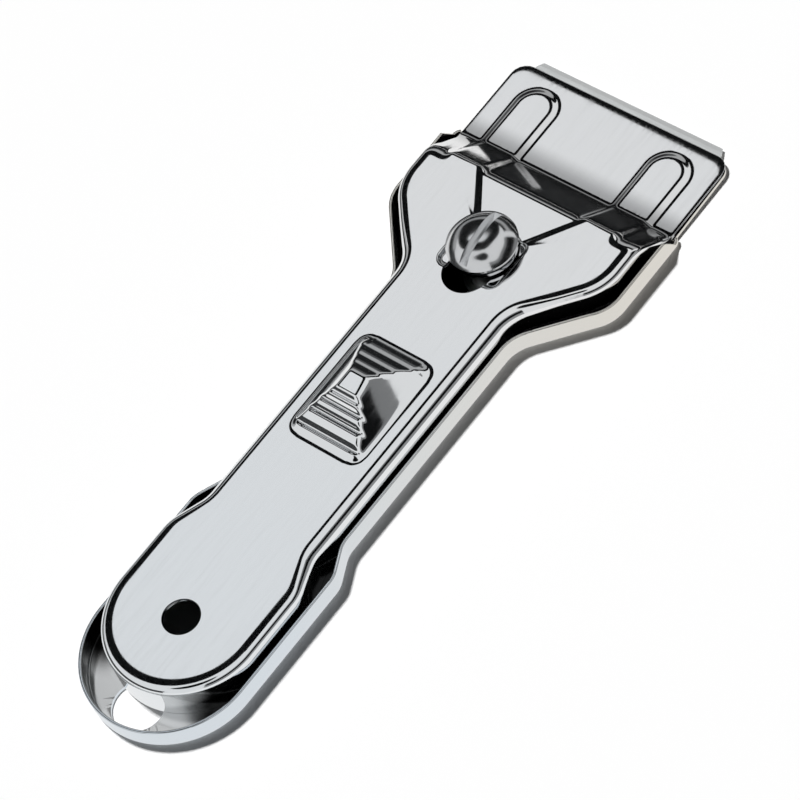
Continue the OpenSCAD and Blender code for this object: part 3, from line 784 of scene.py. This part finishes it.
# Where the treads meet, by place and height: behind the flat top and in front of it.
TREADS = [(THUMB_BACK, 0), (51.9, 1.0), (54.6, 2.15), (56.6, 3.2), (THUMB_TOP_BACK, 4.4)]
FRONT_TREADS = [
    (THUMB_TOP_FRONT, THUMB_RISE), (64.1, 3.55), (66.1, 2.5), (68.3, 1.36), (THUMB_FRONT, 0),
]
TREAD_BULGE, FRONT_BULGE, GROOVE_DEPTH, GROOVE_HALF = 0.04, 0.045, 0.5, 0.55
THUMB_CORNER_R, RIDGE_R, CORNER_RIDGE_R = 2.3, 0.5, 0.3
# Slopes as rise over run. The right side's slope lessens over a stretch of the thumb rest.
FOOT_SLOPE, SIDE_SLOPE, SLOPE_LESS, LESS_FROM_X, LESS_RUN = 0.7, 0.93, 0.3, 54, 14


def rounded_steps(x, steps, bulge):
    """Side view of a run of treads, each a shallow arch between two steps."""
    for (x0, z0), (x1, z1) in zip(steps, steps[1:]):
        if x0 <= x <= x1:
            t = (x - x0) / (x1 - x0)
            return z0 + (z1 - z0) * t + bulge * (x1 - x0) * 4 * t * (1 - t)
    return steps[0][1]


def tread_rise(along):
    """Side view of the treads with a groove before each, from the rear foot forwards."""
    x = THUMB_BACK + along
    if along < 0:
        return along * FOOT_SLOPE
    rise = rounded_steps(x, TREADS, TREAD_BULGE) if x < THUMB_TOP_BACK else THUMB_RISE
    for groove, _ in TREADS[1:]:
        rise -= GROOVE_DEPTH * max(0, 1 - ((x - groove) / GROOVE_HALF) ** 2)
    return rise


def front_rise(along):
    """Side view of the front slope's treads, from the front foot back."""
    x = THUMB_FRONT - along
    if along < 0 or x < THUMB_TOP_FRONT:
        return along * FOOT_SLOPE if along < 0 else THUMB_RISE
    return rounded_steps(x, FRONT_TREADS, FRONT_BULGE)


def thumb_rise(x, y):
    """Height of the thumb rest: treads up from behind, a flat top, a grooved front slope. Its
    right side grows less steep towards the front."""
    side_slope = SIDE_SLOPE - SLOPE_LESS * ease((x - LESS_FROM_X) / LESS_RUN) * ease(1 - y)
    end_rise, along = tread_rise, x - THUMB_BACK
    if x > (THUMB_TOP_BACK + THUMB_TOP_FRONT) / 2:
        end_rise, along = front_rise, THUMB_FRONT - x
    beside = THUMB_HALF - abs(y)
    rise = soft_min(min(end_rise(along), THUMB_RISE), beside * side_slope, RIDGE_R)
    if along < THUMB_CORNER_R and beside < THUMB_CORNER_R:
        away = max(1e-6, hypot(THUMB_CORNER_R - along, THUMB_CORNER_R - beside))
        share = ((THUMB_CORNER_R - along) / away) ** 2
        inside = THUMB_CORNER_R - away
        corner = end_rise(inside) * share + inside * side_slope * (1 - share)
        rise = soft_min(rise, corner, CORNER_RIDGE_R)
    return -soft_min(-rise, 0, RIDGE_R)


# The slot is cut into the recess's floor. A narrow even ring goes round its edge, and
# triangles join that to the grid across a gap.
SLOT_BACK, SLOT_FRONT, SLOT_R, SLOT_RING, SLOT_GAP = 88.6, 95.5, 4.2, 0.15, 0.35


def slot_away(co):
    """Distance from the slot's middle line."""
    return hypot(co.x - min(SLOT_FRONT, max(SLOT_BACK, co.x)), co.y)


in_slot = [f for f in bm.faces if slot_away(f.calc_center_median()) < SLOT_R + SLOT_GAP]
bmesh.ops.delete(bm, geom=in_slot, context="FACES")
torn = [e for e in bm.edges if e.is_boundary and all(slot_away(v.co) < SLOT_R + 1 for v in e.verts)]
slot_half = [("push", SLOT_FRONT - SLOT_BACK, 0, 28), ("swing", 180, SLOT_R, 48)]
slot_line = trace(bm, (SLOT_BACK, -SLOT_R), 0, slot_half * 2)
bmesh.ops.weld_verts(bm, targetmap={slot_line[-1][0]: slot_line[0][0]})
slot_ring = extrude_ring(
    bm, [v for v, left in slot_line[:-1]], True, lambda i: slot_line[i][1] * -SLOT_RING
)
torn += [bm.edges.get(pair) for pair in zip(slot_ring, slot_ring[1:] + slot_ring[:1])]
bmesh.ops.triangle_fill(bm, use_beauty=True, edges=torn, normal=(0, 0, 1))

# Pressing: each point takes its height, the thumb rest's creases are eased, and what stays
# flat goes back to large faces.
THUMB_ZONE_X, THUMB_ZONE_Y = 12, 9
thumb_x = (THUMB_BACK + THUMB_FRONT) / 2
for v in bm.verts:
    on_thumb = abs(v.co.x - thumb_x) < THUMB_ZONE_X and abs(v.co.y) < THUMB_ZONE_Y
    v.co.z = COVER_TOP + thumb_rise(v.co.x, v.co.y) if on_thumb else head_height(v.co.x, v.co.y)
soft = [
    v for v in bm.verts
    if THUMB_BACK - 1 < v.co.x < THUMB_FRONT + 1 and abs(v.co.y) < THUMB_HALF + 1
    and not v.is_boundary
]
for _ in range(4):
    bmesh.ops.smooth_vert(bm, verts=soft, factor=0.5, use_axis_z=True)

bm.normal_update()
flat = [
    v for v in bm.verts
    if not v.is_boundary and all(f.normal.z > 0.9999999 for f in v.link_faces)
    and slot_away(v.co) > SLOT_R + SLOT_GAP * 2 and abs(v.co.x - PEEP_PLACE.x) > 4
]
in_flat = set(flat)
flat_edges = [e for e in bm.edges if e.verts[0] in in_flat and e.verts[1] in in_flat]
bmesh.ops.dissolve_limit(
    bm, angle_limit=0.0005, use_dissolve_boundaries=False, verts=flat, edges=flat_edges,
    delimit=set(),
)
bmesh.ops.triangulate(bm, faces=[f for f in bm.faces if len(f.verts) > 4])


def edge_radii(x):
    """Radii of the edge's bend, which starts broad and ends tight. It is broadest round the
    head and the tail."""
    to_ends = max(ease((x - BROAD_HEAD_X) / BROAD_RUN), ease((BROAD_TAIL_X - x) / BROAD_RUN))
    broad = WAIST_BROAD_R * (1 + to_ends)
    return broad, (EDGE_WIDE - broad * sin(BROAD_TURN)) / (1 - sin(BROAD_TURN))


# The sheet's edge bends down all round the handle, and next to nothing round the plate.
radii = [edge_radii(v.co.x) for v in ring]
drops = [broad * (1 - cos(BROAD_TURN)) + tight * cos(BROAD_TURN) for broad, tight in radii]
bends = [
    min(1, max(PLATE_EDGE_DROP + FRONT_EDGE_DROP * max(0, out.x), v.co.z - PLATE_TOP) / drop)
    for v, out, drop in zip(ring, outs, drops)
]
ring = extrude_ring(bm, ring, True, lambda i: outs[i] * EDGE_MARGIN)
BROAD_PARTS, TIGHT_PARTS = 3, 7
turns = [BROAD_TURN * k / BROAD_PARTS for k in range(BROAD_PARTS + 1)]
turns += [BROAD_TURN + (pi / 2 - BROAD_TURN) * k / TIGHT_PARTS for k in range(1, TIGHT_PARTS + 1)]
for k, (a, b) in enumerate(zip(turns, turns[1:])):
    part = 0 if k < BROAD_PARTS else 1
    out_step, down_step = sin(b) - sin(a), cos(a) - cos(b)
    ring = extrude_ring(
        bm, ring, True,
        lambda i: radii[i][part] * (outs[i] * out_step - Vector((0, 0, down_step * bends[i]))),
    )

# The skirt hangs straight down from the bend, from the step's foot round the tail to the
# step's foot on the other side.
last = max(i for i, v in enumerate(loop[: len(loop) // 2]) if v.co.x > STEP_FOOT_X)
skirt = ring[last : len(loop) - last]
skirt_high = [v.co.z - SKIRT_FOOT for v in skirt]
extrude_ring(bm, skirt, False, lambda i: Vector((0, 0, -skirt_high[i])))

# No edge lies above 99 mm, so all are only broken. The plate's thinned rim keeps its underside.
put_sheet(
    "cover_stamping", bm, 1, [cover_steel, cover_steel],
    "cover", "sliding_cover", 99,
    lambda x, z: min(1, 1 - (PLATE_TOP - z) / SHEET) if x > STEP_FOOT_X else 1,
)


# The washers: a flat washer and a split spring washer of plated steel. They lie loose on the
# screw, under its head, and spread its force over the cover.
def plated_washer(name, tint, rough):
    """Barrel-plated washer: bright, with soft tumbling marks."""
    made, tree = new_material(name)
    place = add_node(tree, "ShaderNodeTexCoord")
    dents = add_node(
        tree, "ShaderNodeTexNoise", {"Scale": 1000 / 0.9, "Detail": 2.0},
        {"Vector": place.outputs["Object"]},
    )
    bump = add_node(
        tree, "ShaderNodeBump", {"Strength": 0.2, "Distance": 0.00004},
        {"Height": dents.outputs["Fac"]},
    )
    steel = add_node(
        tree, "ShaderNodeBsdfPrincipled",
        {"Base Color": hex_rgb(tint), "Metallic": 1.0, "Roughness": rough},
        {"Normal": bump.outputs[0]},
    )
    add_node(tree, "ShaderNodeOutputMaterial", links={"Surface": steel.outputs[0]})
    return made


washer_steel = plated_washer("barrel_plated_washer_steel", "#D6D8DA", 0.14)
finish_node("flat_washer", washer_steel)
finish_node("spring_washer", washer_steel)


# The clamp screw: a turned and plated steel screw with a domed head, a driver slot across
# it and a 5 mm thread. It draws the cover down on the standoff.
def plated_screw(name, tint, rough):
    """Plated turned head: a mirror with shallow dents that bend what it mirrors."""
    made, tree = new_material(name)
    place = add_node(tree, "ShaderNodeTexCoord")
    dents = add_node(
        tree, "ShaderNodeTexNoise", {"Scale": 1000 / 4.5, "Detail": 0.0},
        {"Vector": place.outputs["Object"]},
    )
    bump = add_node(
        tree, "ShaderNodeBump", {"Strength": 0.6, "Distance": 0.0007},
        {"Height": dents.outputs["Fac"]},
    )
    steel = add_node(
        tree, "ShaderNodeBsdfPrincipled",
        {"Base Color": hex_rgb(tint), "Metallic": 1.0, "Roughness": rough},
        {"Normal": bump.outputs[0]},
    )
    add_node(tree, "ShaderNodeOutputMaterial", links={"Surface": steel.outputs[0]})
    return made


HEAD_Z, HEAD_R, HEAD_EDGE, HEAD_BREAK = 9.22, 6.1, 0.6, 0.18
DOME, DOME_POWER, DOME_STEPS = 2.2, 3.4, 26
SLOT_HALF, SLOT_FLOOR, SLOT_TURN = 0.75, 1.2, radians(5)
SHANK_R, SHANK_END, THREAD_PITCH, THREAD_DEPTH = 2.5, 0.8, 0.8, 0.32

# The pen draws half the screw's side view, from the dome's middle to the shank's end. It is
# then spun round, as on a lathe.
bm = bmesh.new()
pen = bmesh.ops.create_vert(bm, co=(0, 0, HEAD_EDGE + DOME))["vert"][0]
for k in range(1, DOME_STEPS + 1):
    pen = bmesh.ops.extrude_vert_indiv(bm, verts=[pen])["verts"][0]
    r = HEAD_R * k / DOME_STEPS
    pen.co = (r, 0, HEAD_EDGE + DOME * (1 - (r / HEAD_R) ** DOME_POWER))
for r, z in ((HEAD_R, HEAD_BREAK), (HEAD_R - HEAD_BREAK, 0), (SHANK_R, 0)):
    pen = bmesh.ops.extrude_vert_indiv(bm, verts=[pen])["verts"][0]
    pen.co = (r, 0, z)
depth = 0.0
thread_floor = SHANK_R - THREAD_DEPTH
while depth < HEAD_Z - SHANK_END - THREAD_PITCH:
    for r, z in ((thread_floor, 0.35), (thread_floor, 0.45), (SHANK_R, THREAD_PITCH)):
        pen = bmesh.ops.extrude_vert_indiv(bm, verts=[pen])["verts"][0]
        pen.co = (r, 0, -depth - z)
    depth += THREAD_PITCH
for r, z in ((SHANK_R - 0.4, SHANK_END - HEAD_Z), (0, SHANK_END - HEAD_Z)):
    pen = bmesh.ops.extrude_vert_indiv(bm, verts=[pen])["verts"][0]
    pen.co = (r, 0, z)
bmesh.ops.spin(
    bm, geom=bm.verts[:] + bm.edges[:], cent=(0, 0, 0), axis=(0, 0, 1), dvec=(0, 0, 0),
    angle=2 * pi, steps=96, use_merge=True,
)
bmesh.ops.remove_doubles(bm, verts=bm.verts[:], dist=0.001)

# The driver slot: three planes split the head along it, the dome over it is taken out, and
# two walls and a floor close it.
slot_planes = [((0, side_y, 0), (0, 1, 0)) for side_y in (-SLOT_HALF, SLOT_HALF)]
for place, way in slot_planes + [((0, 0, SLOT_FLOOR), (0, 0, 1))]:
    bmesh.ops.bisect_plane(
        bm, geom=bm.verts[:] + bm.edges[:] + bm.faces[:], plane_co=place, plane_no=way
    )
cut = [
    f for f in bm.faces
    if abs(f.calc_center_median().y) < SLOT_HALF and f.calc_center_median().z > SLOT_FLOOR
]
bmesh.ops.delete(bm, geom=cut, context="FACES")
rest = [e for e in bm.edges if e.is_boundary]
corners = [
    v for v in bm.verts
    if v.is_boundary and abs(v.co.z - SLOT_FLOOR) < 1e-4 and abs(abs(v.co.y) - SLOT_HALF) < 1e-4
]
for side_y in (-SLOT_HALF, SLOT_HALF):
    pair = [v for v in corners if abs(v.co.y - side_y) < 1e-4]
    floor_edge = bmesh.ops.contextual_create(bm, geom=pair)["edges"][0]
    wall = [e for e in rest if all(abs(v.co.y - side_y) < 1e-4 for v in e.verts)]
    bmesh.ops.contextual_create(bm, geom=wall + [floor_edge])
floor = [
    e for e in bm.edges
    if all(abs(v.co.z - SLOT_FLOOR) < 1e-4 and abs(v.co.y) < SLOT_HALF + 1e-4 for v in e.verts)
    and len(e.link_faces) == 1
]
bmesh.ops.contextual_create(bm, geom=floor)
bmesh.ops.rotate(bm, cent=(0, 0, 0), matrix=Matrix.Rotation(SLOT_TURN, 3, "Z"), verts=bm.verts)
bmesh.ops.translate(bm, verts=bm.verts, vec=(SCREW_X, 0, HEAD_Z))
bmesh.ops.scale(bm, verts=bm.verts, vec=(0.001, 0.001, 0.001))
bmesh.ops.recalc_face_normals(bm, faces=bm.faces)
mesh = bpy.data.meshes.new("clamp_screw_turned")
bm.to_mesh(mesh)
bm.free()
mesh.polygons.foreach_set("use_smooth", [True] * len(mesh.polygons))
mesh.set_sharp_from_angle(angle=radians(32))
mesh.materials.append(plated_screw("plated_screw_steel", "#DADBDC", 0.15))
screw = bpy.data.objects.new("clamp_screw_turned", mesh)
scene.collection.objects.link(screw)
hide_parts("clamp_screw")
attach(screw, "screw")
